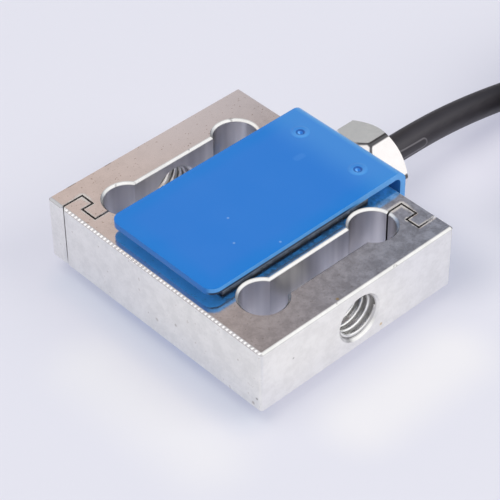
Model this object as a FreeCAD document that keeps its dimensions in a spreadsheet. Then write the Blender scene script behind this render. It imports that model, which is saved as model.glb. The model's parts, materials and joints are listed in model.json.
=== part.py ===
import FreeCAD, Part
import math
import os

import Sketcher
from FreeCAD import Placement, Rotation, Vector

# S-type load cell, lying flat: a one-piece spring element with two dog-bone windows and two
# labyrinth slits, a painted U-shaped cover over its gauge cavity, a hexagonal cable gland and
# a four-core cable wound up for storage.
#
# Frame, in millimetres: Z is up and the cover's lower leaf rests on z = 0. X is the way the
# cable leaves. Y is the load axis, with a threaded bore in each end face. The origin is at the
# centre of the spring element's plan.

SIZES = {
    # spring element
    "block_width": 42.6,
    "block_length": 50.8,
    "block_height": 12.7,
    "block_bevel": 0.45,
    "corner_round": 0.6,
    "window_offset": 16.15,
    "window_slot": 4.1,
    "window_reach": 12.1,
    "window_circle": 7.8,
    "slit_gap": 0.35,
    "slit_flare": 0.35,
    "slit_inner_line": 15.75,
    "slit_middle_line": 19.0,
    "slit_outer_line": 21.7,
    "slit_far_leg": 19.2,
    "slit_near_leg": 17.0,
    "cavity_length": 32.2,
    "cavity_width": 20.6,
    "cavity_corner": 1.5,
    "load_thread": 8.0,
    "thread_bevel": 0.5,
    "gland_thread": 10.0,
    # cover
    "sheet": 1.2,
    "cover_gap": 1.3,
    "cover_width": 24.2,
    "cover_reach": 19.25,
    "cover_corner": 2.0,
    "fold_radius": 2.4,
    "cover_edge": 0.35,
    "gland_clearance": 0.3,
    "dimple_place": 18.45,
    "dimple_half_pitch": 6.75,
    "dimple_mouth": 1.25,
    "dimple_floor": 0.5,
    "dimple_depth": 1.7,
    # cable gland
    "seal_thickness": 1.5,
    "seal_width": 1.2,
    "hex_across": 14.0,
    "hex_length": 6.1,
    "hex_turn": 18.9,
    "hex_near_bevel": 1.6,
    "hex_far_bevel": 0.8,
    "spigot_past_wall": 0.3,
    "screw_thread_play": 0.05,
    "grommet_wall": 1.3,
    "grommet_length": 5.6,
    # cable and what is inside the cavity
    "cable_diameter": 5.0,
    "cable_play": 0.2,
    "sheath_past_wall": 3.1,
    "stop_ring_wall": 1.1,
    "stop_ring_length": 1.5,
    "core_diameter": 1.1,
    "core_pitch": 1.6,
    "gauge_length": 5.0,
    "gauge_width": 4.0,
    "gauge_thickness": 0.25,
    "gauge_wire": 0.3,
    "board_length": 15.0,
    "board_height": 6.7,
    "board_thickness": 1.0,
    "board_past_gauge": 0.6,
    "resistor_diameter": 1.4,
    "resistor_length": 3.2,
    "resistor_pitch": 2.0,
    "potting_depth": 2.5,
    "potting_lap": 0.9,
    # stored cable
    "coil_inner_ring": 20.0,
    "coil_rings": 4,
    "coil_layers": 3,
    "coil_x": 84.0,
    "tie_width": 5.0,
    "tie_thickness": 0.5,
    "tie_play": 0.1,
    "tail_start": 150.0,
    "tail_end": 100.0,
    "lead_diameter": 1.1,
    "lead_sweep": 62.0,
}

doc = FreeCAD.newDocument("LoadCell")


class Size:
    """A length that knows its number and the sheet expression that gives it."""

    def __init__(self, number, text):
        self.number = number
        self.text = text

    def __add__(self, other):
        other = as_size(other)
        return Size(self.number + other.number, f"({self.text} + {other.text})")

    def __sub__(self, other):
        other = as_size(other)
        return Size(self.number - other.number, f"({self.text} - {other.text})")

    def __mul__(self, factor):
        factor = as_size(factor)
        return Size(self.number * factor.number, f"({self.text} * {factor.text})")

    def __truediv__(self, divisor):
        divisor = as_size(divisor)
        return Size(self.number / divisor.number, f"({self.text} / {divisor.text})")

    def __neg__(self):
        return self * -1

    __radd__ = __add__
    __rmul__ = __mul__


def as_size(value):
    return value if isinstance(value, Size) else Size(float(value), repr(float(value)))


def driving_sheet():
    """Puts the driving sizes in the document's sheet and returns them by name."""
    sheet = doc.addObject("Spreadsheet::Sheet", "Sizes")
    for row, (name, number) in enumerate(SIZES.items(), start=1):
        sheet.set(f"A{row}", name)
        sheet.set(f"B{row}", str(number))
        sheet.setAlias(f"B{row}", name)
    doc.recompute()
    return {name: Size(float(number), f"Sizes.{name}") for name, number in SIZES.items()}


S = driving_sheet()

# ---------------------------------------------------------------- places shared by the pieces

block_base = S["sheet"] + S["cover_gap"]
block_top = block_base + S["block_height"]
axis_height = block_base + S["block_height"] / 2
leaf_under = block_top + S["cover_gap"]
cover_top = leaf_under + S["sheet"]
wall_x = S["block_width"] / 2
cavity_end = S["cavity_length"] / 2
cavity_side = S["cavity_width"] / 2
seal_x = wall_x + S["seal_thickness"]
seat_x = seal_x + S["sheet"]
mouth_x = seat_x + S["hex_length"]
screw_radius = S["gland_thread"] / 2 - S["screw_thread_play"]
cable_radius = S["cable_diameter"] / 2
grommet_radius = cable_radius + S["grommet_wall"]
sheath_end = cavity_end - S["sheath_past_wall"]
board_start = S["gauge_length"] / 2 + S["board_past_gauge"] - S["window_reach"]
board_centre = board_start + S["board_length"] / 2

# ---------------------------------------------------------------- tools for sketches and bodies


def bind(thing, prop, size):
    """Ties a property of an object to the sheet."""
    thing.setExpression(prop, size.text)


def place(thing, x, y, z, rotation=None):
    """Places an object, each coordinate tied to the sheet."""
    coordinates = [as_size(value) for value in (x, y, z)]
    numbers = Vector(*[value.number for value in coordinates])
    thing.Placement = Placement(numbers, rotation or Rotation())
    for letter, value in zip("xyz", coordinates):
        bind(thing, f"Placement.Base.{letter}", value)


def new_body(label):
    body = doc.addObject("PartDesign::Body", label)
    body.Label = label
    return body


def new_sketch(body, name, plane, offset=None):
    """A sketch on one of the body's own origin planes, or parallel to it."""
    sketch = body.newObject("Sketcher::SketchObject", name)
    roles = {feature.Role: feature for feature in body.Origin.OriginFeatures}
    sketch.AttachmentSupport = [(roles[plane], "")]
    sketch.MapMode = "FlatFace"
    if offset is not None:
        sketch.AttachmentOffset = Placement(Vector(0, 0, offset.number), Rotation())
        bind(sketch, "AttachmentOffset.Base.z", offset)
    return sketch


def pin(sketch, curve, point, x, y):
    """Holds a sketch point at x, y from the sketch's origin."""
    for kind, axis, value in (("DistanceX", -2, as_size(x)), ("DistanceY", -1, as_size(y))):
        if abs(value.number) < 1e-9:
            sketch.addConstraint(Sketcher.Constraint("PointOnObject", curve, point, axis))
        else:
            index = sketch.addConstraint(
                Sketcher.Constraint(kind, -1, 1, curve, point, value.number)
            )
            bind(sketch, f"Constraints[{index}]", value)


def draw_polygon(sketch, corners):
    corners = [(as_size(x), as_size(y)) for x, y in corners]
    first = sketch.GeometryCount
    ahead = corners[1:] + corners[:1]
    for (x, y), (next_x, next_y) in zip(corners, ahead):
        start = Vector(x.number, y.number, 0)
        end = Vector(next_x.number, next_y.number, 0)
        sketch.addGeometry(Part.LineSegment(start, end), False)
    for index, (x, y) in enumerate(corners):
        following = first + (index + 1) % len(corners)
        joint = Sketcher.Constraint("Coincident", first + index, 2, following, 1)
        sketch.addConstraint(joint)
        pin(sketch, first + index, 1, x, y)


def draw_circle(sketch, x, y, radius):
    x, y, radius = as_size(x), as_size(y), as_size(radius)
    circle = Part.Circle(Vector(x.number, y.number, 0), Vector(0, 0, 1), radius.number)
    curve = sketch.addGeometry(circle, False)
    index = sketch.addConstraint(Sketcher.Constraint("Radius", curve, radius.number))
    bind(sketch, f"Constraints[{index}]", radius)
    pin(sketch, curve, 3, x, y)


def pad(body, sketch, length, symmetric=False):
    feature = body.newObject("PartDesign::Pad", sketch.Name + "Pad")
    feature.Profile = sketch
    feature.SideType = "Symmetric" if symmetric else "One side"
    bind(feature, "Length", length)
    doc.recompute()
    return feature


def pocket(body, sketch, reverse, length=None):
    """A pocket through everything, or to a length, that must take material away."""
    before = body.Shape.Volume
    feature = body.newObject("PartDesign::Pocket", sketch.Name + "Pocket")
    feature.Profile = sketch
    feature.Reversed = reverse
    if length is None:
        feature.Type = "ThroughAll"
    else:
        bind(feature, "Length", length)
    doc.recompute()
    if not body.Shape.Volume < before - 1e-6:
        raise ValueError(f"{feature.Name} cuts nothing")
    return feature


def dress(body, kind, name, size, wanted):
    """Chamfers or fillets those edges of the body's tip that wanted() accepts."""
    base = body.Tip
    edges = [f"Edge{i}" for i, edge in enumerate(base.Shape.Edges, start=1) if wanted(edge)]
    if not edges:
        raise ValueError(f"{name} finds no edge")
    feature = body.newObject(f"PartDesign::{kind}", name)
    feature.Base = (base, edges)
    bind(feature, "Size" if kind == "Chamfer" else "Radius", size)
    doc.recompute()
    return feature


def near(value, *targets):
    return any(abs(value - getattr(target, "number", target)) < 1e-4 for target in targets)


def ends(edge):
    return [vertex.Point for vertex in edge.Vertexes]


def middle(edge):
    return edge.valueAt((edge.FirstParameter + edge.LastParameter) / 2)


def is_line_along(edge, axis):
    points = ends(edge)
    if edge.Curve.TypeId != "Part::GeomLine" or len(points) != 2:
        return False
    direction = (points[1] - points[0]).normalize()
    return abs(direction.dot(axis)) > 0.9999


# ---------------------------------------------------------------- spring element


def spring_element():
    """The measuring body: windows, slits, gauge cavity and three threaded bores."""
    body = new_body("spring_element")
    half_x = wall_x
    half_y = S["block_length"] / 2
    height = S["block_height"]

    outline = new_sketch(body, "Outline", "XY_Plane")
    corners = [(-half_x, -half_y), (half_x, -half_y), (half_x, half_y), (-half_x, half_y)]
    draw_polygon(outline, corners)
    pad(body, outline, height)
    dress(body, "Fillet", "CornerRound", S["corner_round"], lambda e: is_line_along(e, Vector(0, 0, 1)))

    slots = new_sketch(body, "WindowSlots", "XY_Plane")
    circles = new_sketch(body, "WindowCircles", "XY_Plane")
    for turn in (1, -1):
        low = (S["window_offset"] - S["window_slot"] / 2) * turn
        high = (S["window_offset"] + S["window_slot"] / 2) * turn
        reach = S["window_reach"] * turn
        draw_polygon(slots, [(-reach, low), (reach, low), (reach, high), (-reach, high)])
        for side in (1, -1):
            centre = S["window_reach"] * side
            draw_circle(circles, centre, S["window_offset"] * turn, S["window_circle"] / 2)
    pocket(body, slots, reverse=True)
    pocket(body, circles, reverse=True)

    def on_top_or_bottom(edge):
        levels = [near(point.z, 0, height) for point in ends(edge) + [middle(edge)]]
        return all(levels) and near(ends(edge)[0].z, middle(edge).z)

    dress(body, "Chamfer", "FaceBevels", S["block_bevel"], on_top_or_bottom)

    cavity = new_sketch(body, "GaugeCavity", "XY_Plane")
    draw_polygon(cavity, rectangle(cavity_end, cavity_side))
    pocket(body, cavity, reverse=True)

    def cavity_corner(edge):
        spot = middle(edge)
        upright = is_line_along(edge, Vector(0, 0, 1))
        return upright and near(abs(spot.x), cavity_end) and near(abs(spot.y), cavity_side)

    dress(body, "Fillet", "CavityCorners", S["cavity_corner"], cavity_corner)

    slits = new_sketch(body, "LabyrinthSlits", "XY_Plane")
    for turn in (1, -1):
        draw_polygon(slits, slit_outline(turn))
    pocket(body, slits, reverse=True)

    mouths = new_sketch(body, "SlitMouths", "XY_Plane")
    for turn in (1, -1):
        draw_polygon(mouths, slit_mouth(turn))
    pocket(body, mouths, reverse=True)

    for name, turn in (("FrontThread", -1), ("RearThread", 1)):
        bore = new_sketch(body, name, "XZ_Plane", offset=S["window_offset"] * -turn)
        draw_circle(bore, 0, height / 2, S["load_thread"] / 2)
        pocket(body, bore, reverse=turn < 0)

    def thread_mouth(edge):
        round_edge = edge.Curve.TypeId == "Part::GeomCircle"
        return round_edge and near(edge.Curve.Radius, S["load_thread"] / 2) and edge.isClosed()

    dress(body, "Chamfer", "ThreadBevels", S["thread_bevel"], thread_mouth)

    cable_bore = new_sketch(body, "CableBore", "YZ_Plane")
    draw_circle(cable_bore, 0, height / 2, S["gland_thread"] / 2)
    pocket(body, cable_bore, reverse=True)
    place(body, 0, 0, block_base)
    return body


def rectangle(half_x, half_y):
    return [(-half_x, -half_y), (half_x, -half_y), (half_x, half_y), (-half_x, half_y)]


def slit_outline(turn):
    """A slit from a side face round two legs into a window's circle, as a thin polygon."""
    outside = wall_x + 1
    lines = [
        (-outside, S["slit_outer_line"]),
        (-S["slit_near_leg"], S["slit_outer_line"]),
        (-S["slit_near_leg"], S["slit_middle_line"]),
        (-S["slit_far_leg"], S["slit_middle_line"]),
        (-S["slit_far_leg"], S["slit_inner_line"]),
        (-S["window_reach"], S["slit_inner_line"]),
    ]
    left_hand = [(0, 1), (1, 1), (1, -1), (1, -1), (1, 1), (0, 1)]
    half = S["slit_gap"] / 2
    left = [(x + half * dx, y + half * dy) for (x, y), (dx, dy) in zip(lines, left_hand)]
    right = [(x - half * dx, y - half * dy) for (x, y), (dx, dy) in zip(lines, left_hand)]
    return [(x * turn, y * turn) for x, y in left + right[::-1]]


def slit_mouth(turn):
    """The 45 degree flare of a slit where it opens in a side face."""
    narrow = S["slit_gap"] / 2
    wide = narrow + S["slit_flare"] * 2
    inside = -wall_x + S["slit_flare"]
    outside = -wall_x - S["slit_flare"]
    line = S["slit_outer_line"]
    corners = [(outside, line - wide), (inside, line - narrow), (inside, line + narrow), (outside, line + wide)]
    return [(x * turn, y * turn) for x, y in corners]


# ---------------------------------------------------------------- cover


def cover():
    """A folded sheet over both mouths of the gauge cavity, standing off on pressed dimples."""
    blank = new_body("cover_blank")
    reach = S["cover_reach"]
    sheet = S["sheet"]
    half_width = S["cover_width"] / 2

    profile = new_sketch(blank, "CoverProfile", "XZ_Plane")
    outside = [(-reach, 0), (seat_x, 0), (seat_x, cover_top), (-reach, cover_top)]
    inside = [(-reach, leaf_under), (seal_x, leaf_under), (seal_x, sheet), (-reach, sheet)]
    draw_polygon(profile, outside + inside)
    pad(blank, profile, S["cover_width"], symmetric=True)

    def fold(edge, x, *levels):
        spot = middle(edge)
        return is_line_along(edge, Vector(0, 1, 0)) and near(spot.x, x) and near(spot.z, *levels)

    outer = S["fold_radius"]
    dress(blank, "Fillet", "OuterFolds", outer, lambda e: fold(e, seat_x, 0, cover_top))
    dress(blank, "Fillet", "InnerFolds", outer - sheet, lambda e: fold(e, seal_x, sheet, leaf_under))

    def free_corner(edge):
        spot = middle(edge)
        upright = is_line_along(edge, Vector(0, 0, 1))
        return upright and near(spot.x, -reach) and near(abs(spot.y), half_width)

    dress(blank, "Fillet", "FreeCorners", S["cover_corner"], free_corner)

    def outer_rim(edge):
        spot = middle(edge)
        across = is_line_along(edge, Vector(0, 1, 0))
        on_skin = near(spot.z, 0, cover_top) or near(spot.x, seat_x)
        on_fold = edge.Curve.TypeId == "Part::GeomCircle" and near(edge.Curve.Radius, outer)
        return (on_skin or on_fold) and (not across or near(spot.x, -reach))

    dress(blank, "Chamfer", "SoftRim", S["cover_edge"], outer_rim)

    hole = new_sketch(blank, "GlandHole", "YZ_Plane")
    draw_circle(hole, 0, axis_height, S["gland_thread"] / 2 + S["gland_clearance"])
    pocket(blank, hole, reverse=True)

    standoffs = [blank]
    recesses = []
    for upward in (1, -1):
        skin = cover_top if upward > 0 else as_size(0)
        for side in (1, -1):
            name = f"Dimple{'Top' if upward > 0 else 'Bottom'}{'Rear' if side > 0 else 'Front'}"
            y = S["dimple_half_pitch"] * side
            facing = Rotation(Vector(1, 0, 0), 180 if upward > 0 else 0)
            wall = S["sheet"] / 2
            boss = cone(f"{name}Boss", S["dimple_mouth"] + wall, S["dimple_floor"] + wall,
                        wall + S["cover_gap"])
            place(boss, S["dimple_place"], y, skin - wall * upward, facing)
            recess = cone(f"{name}Recess", S["dimple_mouth"], S["dimple_floor"], S["dimple_depth"])
            place(recess, S["dimple_place"], y, skin, facing)
            standoffs.append(boss)
            recesses.append(recess)
    solid = fuse("CoverWithStandoffs", standoffs)
    return cut("cover", solid, fuse("DimpleRecesses", recesses))


def cone(name, base_radius, top_radius, height):
    shape = doc.addObject("Part::Cone", name)
    bind(shape, "Radius1", base_radius)
    bind(shape, "Radius2", top_radius)
    bind(shape, "Height", height)
    return shape


def fuse(name, shapes):
    result = doc.addObject("Part::MultiFuse", name)
    result.Shapes = shapes
    return result


def cut(name, base, tool):
    result = doc.addObject("Part::Cut", name)
    result.Base = base
    result.Tool = tool
    result.Label = name
    return result


# ---------------------------------------------------------------- cable gland


def rod(name, radius, start_x, end_x, y=0, z=None):
    """A round rod along X."""
    shape = doc.addObject("Part::Cylinder", name)
    shape.Label = name
    bind(shape, "Radius", as_size(radius))
    bind(shape, "Height", end_x - start_x)
    place(shape, start_x, y, axis_height if z is None else z, Rotation(Vector(0, 1, 0), 90))
    return shape


def ring(name, outer_radius, inner_radius, start_x, end_x):
    """A plain ring about the gland's axis."""
    body = rod(name + "_body", outer_radius, start_x, end_x)
    hole = rod(name + "_hole", inner_radius, start_x - 1, end_x + 1)
    return cut(name, body, hole)


def gland_screw():
    """A turned hollow screw with a hexagonal head, bevelled at both ends."""
    body = new_body("gland_screw")
    flat = S["hex_across"] / 2
    corner = flat * (1 / math.cos(math.pi / 6))
    tip = cavity_end + S["spigot_past_wall"]
    bore = cable_radius + S["cable_play"]
    pocket_end = mouth_x - S["hex_length"]

    turned = new_sketch(body, "TurnedProfile", "XZ_Plane")
    profile = [
        (tip, bore),
        (tip, screw_radius),
        (seat_x, screw_radius),
        (seat_x, flat),
        (seat_x + S["hex_near_bevel"], corner),
        (mouth_x - S["hex_far_bevel"], corner),
        (mouth_x, flat),
        (mouth_x, grommet_radius),
        (pocket_end, grommet_radius),
        (pocket_end, bore),
    ]
    draw_polygon(turned, profile)
    turning = body.newObject("PartDesign::Revolution", "Turning")
    turning.Profile = turned
    turning.ReferenceAxis = (turned, ["H_Axis"])
    turning.Angle = 360
    doc.recompute()

    flats = new_sketch(body, "HexFlats", "YZ_Plane", offset=seat_x)
    corners = []
    for index in range(6):
        angle = math.pi / 3 * index
        corners.append((corner * math.cos(angle), corner * math.sin(angle)))
    draw_polygon(flats, corners)
    draw_circle(flats, 0, 0, corner * 1.5)
    pocket(body, flats, reverse=True, length=S["hex_length"])
    turn = Rotation(Vector(1, 0, 0), 30 + SIZES["hex_turn"])
    place(body, 0, 0, axis_height, turn)
    return body


def gland_pieces():
    """What seals and holds the cable where it enters."""
    seal_bore = S["gland_thread"] / 2 + S["screw_thread_play"]
    grommet_end = seat_x + S["grommet_length"]
    stop_radius = cable_radius + S["stop_ring_wall"]
    stop_end = cavity_end + S["spigot_past_wall"]
    return [
        gland_screw(),
        ring("gland_seal_ring", seal_bore + S["seal_width"], seal_bore, wall_x, seal_x),
        ring("cable_grommet", grommet_radius, cable_radius, seat_x, grommet_end),
        ring("cable_stop_ring", stop_radius, cable_radius, stop_end - S["stop_ring_length"], stop_end),
        rod("cable_sheath_inside", cable_radius, sheath_end, mouth_x),
    ]


# ---------------------------------------------------------------- inside the gauge cavity


def box(name, length, width, height, x, y, z):
    """A block centred on x and y, standing on z."""
    shape = doc.addObject("Part::Box", name)
    shape.Label = name
    for prop, size in (("Length", length), ("Width", width), ("Height", height)):
        bind(shape, prop, as_size(size))
    place(shape, as_size(x) - length / 2, as_size(y) - width / 2, z)
    return shape


def round_path(points, bend=None):
    """Straight runs joined by tangent arcs, and the radii of the arcs.

    Each arc is as large as its two runs allow, or of the given bend radius.
    """
    edges = []
    radii = []
    start = points[0]
    for before, corner, after in zip(points, points[1:], points[2:]):
        back = (before - corner).normalize()
        ahead = (after - corner).normalize()
        half_turn = (math.pi - back.getAngle(ahead)) / 2
        shorter = min((before - corner).Length, (after - corner).Length)
        radius = bend or 0.45 * shorter / math.tan(half_turn)
        trim = radius * math.tan(half_turn)
        first = corner + back * trim
        last = corner + ahead * trim
        inward = (back + ahead).normalize()
        apex = corner + inward * (radius / math.cos(half_turn) - radius)
        edges.append(Part.LineSegment(start, first).toShape())
        edges.append(Part.Arc(first, apex, last).toShape())
        radii.append(radius)
        start = last
    edges.append(Part.LineSegment(start, points[-1]).toShape())
    return Part.Wire(edges), radii


def tube(points, diameter, bend=None):
    """A round solid along a rounded path, checked against its section times its length."""
    wire, radii = round_path(points, bend)
    direction = points[1] - points[0]
    section = Part.Wire(Part.Circle(points[0], direction, diameter / 2).toShape())
    solid = wire.makePipeShell([section], True, True)
    expected = math.pi * diameter ** 2 / 4 * wire.Length
    if abs(solid.Volume - expected) > 0.01 * expected:
        raise ValueError(f"a tube's volume is {solid.Volume:.3f}, not {expected:.3f}")
    return solid, radii


def plain_feature(name, shape):
    feature = doc.addObject("Part::Feature", name)
    feature.Shape = shape
    feature.Label = name
    feature.Placement = Placement()
    return feature


def strain_gauges():
    """Four foil gauges on the cavity's long walls, opposite the windows' circles."""
    pieces = []
    for y_name, y_side in (("rear", 1), ("front", -1)):
        for x_name, x_side in (("left", -1), ("right", 1)):
            y = (cavity_side - S["gauge_thickness"] / 2) * y_side
            z = axis_height - S["gauge_width"] / 2
            name = f"strain_gauge_{y_name}_{x_name}"
            x = S["window_reach"] * x_side
            sizes = (S["gauge_length"], S["gauge_thickness"], S["gauge_width"])
            pieces.append(box(name, *sizes, x, y, z))
    return pieces


def terminal_board():
    """The soldering board on the front wall of the cavity, with its two resistors."""
    y = S["board_thickness"] / 2 - cavity_side
    z = axis_height - S["board_height"] / 2
    sizes = (S["board_length"], S["board_thickness"], S["board_height"])
    board = box("terminal_board", *sizes, board_centre, y, z)
    pieces = [board]
    for order, name in ((1, "balance_resistor"), (2, "span_resistor")):
        resistor = doc.addObject("Part::Cylinder", name)
        resistor.Label = name
        bind(resistor, "Radius", S["resistor_diameter"] / 2)
        bind(resistor, "Height", S["resistor_length"])
        x = board_start + S["resistor_pitch"] * order - S["resistor_diameter"] / 4
        face = S["board_thickness"] - cavity_side + S["resistor_diameter"] / 2
        place(resistor, x, face, axis_height - S["resistor_length"] / 2)
        pieces.append(resistor)
    return pieces


def straight_wire(start, finish, diameter, room):
    """A round wire to finish that starts before start and is trimmed flush there by the room."""
    way = (finish - start).normalize()
    length = (finish - start).Length + diameter
    return Part.makeCylinder(diameter / 2, length, start - way * diameter, way).common(room)


def cable_cores():
    """Four insulated cores, spread from the sheath's end to their pads on the board."""
    face = (S["board_thickness"] - cavity_side).number
    axis = axis_height.number
    diameter = S["core_diameter"].number
    spread = S["core_pitch"].number / 2
    start = sheath_end.number
    pads = S["board_length"].number
    low = Vector(start - 2 * cavity_end.number, face, 0)
    room = Part.makeBox(2 * cavity_end.number, 2 * cavity_side.number, 2 * axis, low)
    cores = {"black": (-1, 1, 0.34), "red": (1, 1, 0.18), "green": (-1, -1, 0.02), "white": (1, -1, -0.14)}
    pieces = []
    for colour, (y_side, z_side, pad_share) in cores.items():
        leave = Vector(start, spread * y_side, axis + spread * z_side)
        land = Vector(board_centre.number + pad_share * pads, face, leave.z)
        beyond = land + (land - leave).normalize() * diameter
        solid = straight_wire(leave, beyond, diameter, room)
        pieces.append(plain_feature(f"core_{colour}", solid))
    return pieces


def ribbon(points, width):
    """A flat wire of square section along straight runs, with mitred corners."""
    path = Part.makePolygon(points)
    ahead = (points[1] - points[0]).normalize()
    across = ahead.cross(Vector(0, 0, 1)) * (width / 2)
    high = Vector(0, 0, width / 2)
    start = points[0]
    corners = [start + across + high, start - across + high, start - across - high, start + across - high]
    section = Part.makePolygon(corners + corners[:1])
    return path.makePipeShell([section], True, False, 1)


def gauge_wires():
    """A pair of flat lead wires from each gauge to the board, level and below the cores."""
    width = S["gauge_wire"].number
    board_face = (S["board_thickness"] - cavity_side).number
    gauge_face = (cavity_side - S["gauge_thickness"]).number
    level = (axis_height - S["gauge_width"] / 2).number + width * 0.7
    pads = S["board_length"].number
    landings = {"front_left": -0.44, "rear_left": -0.3, "rear_right": 0.3, "front_right": 0.44}
    pieces = []
    for name, share in landings.items():
        x_side = 1 if "right" in name else -1
        y_side = 1 if "rear" in name else -1
        wires = []
        for lane in (-1, 1):
            x = S["window_reach"].number * x_side + lane * 2 * width
            board_x = board_centre.number + share * pads + lane * 1.5 * width
            clear = (7 + lane * x_side * (2 if y_side < 0 else 0)) * width
            points = [
                Vector(x, gauge_face * y_side, level),
                Vector(x, gauge_face * y_side - clear * y_side, level),
                Vector(board_x, board_face + clear, level),
                Vector(board_x, board_face, level),
            ]
            wires.append(ribbon(points, width))
        pieces.append(plain_feature(f"gauge_wires_{name}", Part.makeCompound(wires)))
    return pieces


def potting(name, upward):
    """Sealing compound in one mouth of the cavity, standing proud to carry the cover's leaf."""
    body = new_body(name)
    plug = new_sketch(body, name + "_plug", "XY_Plane")
    draw_polygon(plug, rectangle(cavity_end, cavity_side))
    pad(body, plug, S["potting_depth"])
    dress(body, "Fillet", name + "_corners", S["cavity_corner"], lambda e: is_line_along(e, Vector(0, 0, 1)))
    lap = new_sketch(body, name + "_lap", "XY_Plane", offset=S["potting_depth"])
    draw_polygon(lap, rectangle(cavity_end, cavity_side + S["potting_lap"]))
    pad(body, lap, S["cover_gap"])
    if upward:
        place(body, 0, 0, block_top - S["potting_depth"])
    else:
        place(body, 0, 0, block_base + S["potting_depth"], Rotation(Vector(1, 0, 0), 180))
    return body


# ---------------------------------------------------------------- stored cable


def coil_places():
    """Radii and heights of the stored coil, and its centre on the floor."""
    diameter = S["cable_diameter"]
    inner = S["coil_inner_ring"] - diameter / 2
    outer = inner + diameter * S["coil_rings"]
    base = S["tie_thickness"]
    top = base + diameter * S["coil_layers"]
    centre_y = diameter / 2 - outer
    return inner, outer, base, top, centre_y


def free_cable():
    """The cable from the gland's mouth down to the coil's outer ring."""
    route = [
        Vector(mouth_x.number, 0, axis_height.number),
        Vector(37.8, 0, axis_height.number),
        Vector(48.0, 0.5, 7.5),
        Vector(59.0, 0.5, 5.4),
        Vector(69.8, -0.1, 3.6),
    ]
    solid, radii = tube(route, S["cable_diameter"].number)
    print("cable bend radii, mm:", [round(radius, 1) for radius in radii])
    return plain_feature("cable_free", solid)


def stored_coil():
    inner, outer, base, top, centre_y = coil_places()
    outside = upright("coil_outside", outer, top - base, S["coil_x"], centre_y, base)
    hole = upright("coil_hole", inner, top - base + 2, S["coil_x"], centre_y, base - 1)
    return cut("cable_coil", outside, hole)


def upright(name, radius, height, x, y, z):
    shape = doc.addObject("Part::Cylinder", name)
    bind(shape, "Radius", radius)
    bind(shape, "Height", height)
    place(shape, x, y, z)
    return shape


def coil_tie():
    """A flat band round the coil's bundle, at its side away from the load cell."""
    inner, outer, base, top, centre_y = coil_places()
    play = S["tie_play"]
    bow = 0.3
    inside_low = inner - bow - play
    inside_width = outer + play - inside_low
    middle_x = S["coil_x"] + inside_low + inside_width / 2
    wall = S["tie_thickness"]
    width = S["tie_width"]
    band = box("tie_band", inside_width + wall * 2, width, top + wall, middle_x, centre_y, 0)
    gap = box("tie_gap", inside_width, width + 2, top - base, middle_x, centre_y, base)
    return cut("coil_tie", band, gap)


def cable_tail():
    """The last stretch of the cable, lying on the coil, and its five bare-ended leads."""
    inner, outer, _, top, centre_y = coil_places()
    radius = (inner.number + outer.number) / 2
    centre = Vector(S["coil_x"].number, centre_y.number, 0)
    lying = top.number + cable_radius.number

    def around(distance, degrees, height):
        angle = math.radians(degrees)
        return centre + Vector(distance * math.cos(angle), distance * math.sin(angle), height)

    begin, finish = S["tail_start"].number, S["tail_end"].number
    arc = Part.Arc(*[around(radius, a, lying) for a in (begin, (begin + finish) / 2, finish)])
    spine = Part.Wire(arc.toShape())
    section = Part.Wire(Part.Circle(around(radius, begin, lying), arc.tangent(arc.FirstParameter)[0],
                                    cable_radius.number).toShape())
    pieces = [plain_feature("cable_tail", spine.makePipeShell([section], True, True))]

    diameter = S["lead_diameter"].number
    ahead = arc.tangent(arc.LastParameter)[0]
    resting = top.number + diameter / 2
    end = around(radius, finish, lying)
    room = Part.makeCylinder(outer.number, 2 * outer.number, end, ahead)
    step = 0.78 * diameter
    spots = {"red": (1, 1), "black": (-1, 1), "green": (-1, -1), "white": (1, -1), "shield": (0, 0)}
    fan = {"red": 3.6, "white": 1.8, "shield": 0, "green": -1.8, "black": -3.6}
    for name, (across, upward) in spots.items():
        leave = around(radius + step * across, finish, lying + step * upward)
        rest = around(radius + fan[name] * diameter, finish - S["lead_sweep"].number, resting)
        solid = straight_wire(leave, rest, diameter, room)
        pieces.append(plain_feature(f"lead_{name}", solid))
    return pieces


# ---------------------------------------------------------------- build, check and write


def build():
    pieces = [spring_element(), cover()]
    pieces += gland_pieces()
    pieces += strain_gauges()
    pieces += terminal_board()
    pieces += cable_cores()
    pieces += gauge_wires()
    pieces += [potting("potting_top", True), potting("potting_bottom", False)]
    pieces += [free_cable(), stored_coil(), coil_tie()]
    pieces += cable_tail()
    doc.recompute()
    return pieces


def check(pieces):
    for thing in doc.Objects:
        if "Invalid" in thing.State or "Error" in thing.State:
            raise ValueError(f"{thing.Name} failed: {thing.State}")
    for piece in pieces:
        if piece.Shape.isNull() or not piece.Shape.isValid() or not piece.Shape.Solids:
            raise ValueError(f"{piece.Label} has no valid solid")


def write(pieces):
    os.makedirs("parts", exist_ok=True)
    for piece in pieces:
        piece.Shape.exportStep(f"parts/{piece.Label}.step")
        volume = piece.Shape.Volume
        print(f"{piece.Label:26s} {len(piece.Shape.Solids)} solid(s) {volume:10.2f} mm3")


parts = build()
check(parts)
write(parts)
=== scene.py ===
# %% [markdown]
# # A small S-type load cell
#
# The object is a force sensor no larger than a matchbox: a bright steel block with two
# dog-bone windows, a blue sheet-metal cover wrapped round its middle, a hexagonal gland and a
# black cable. The exact solids come from CAD. This lesson dresses them for a close studio
# picture, one piece or finish at a time, so each cell can be read and run by itself.

import json
import math

import bmesh
import bpy
from mathutils import Matrix, Vector


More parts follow.
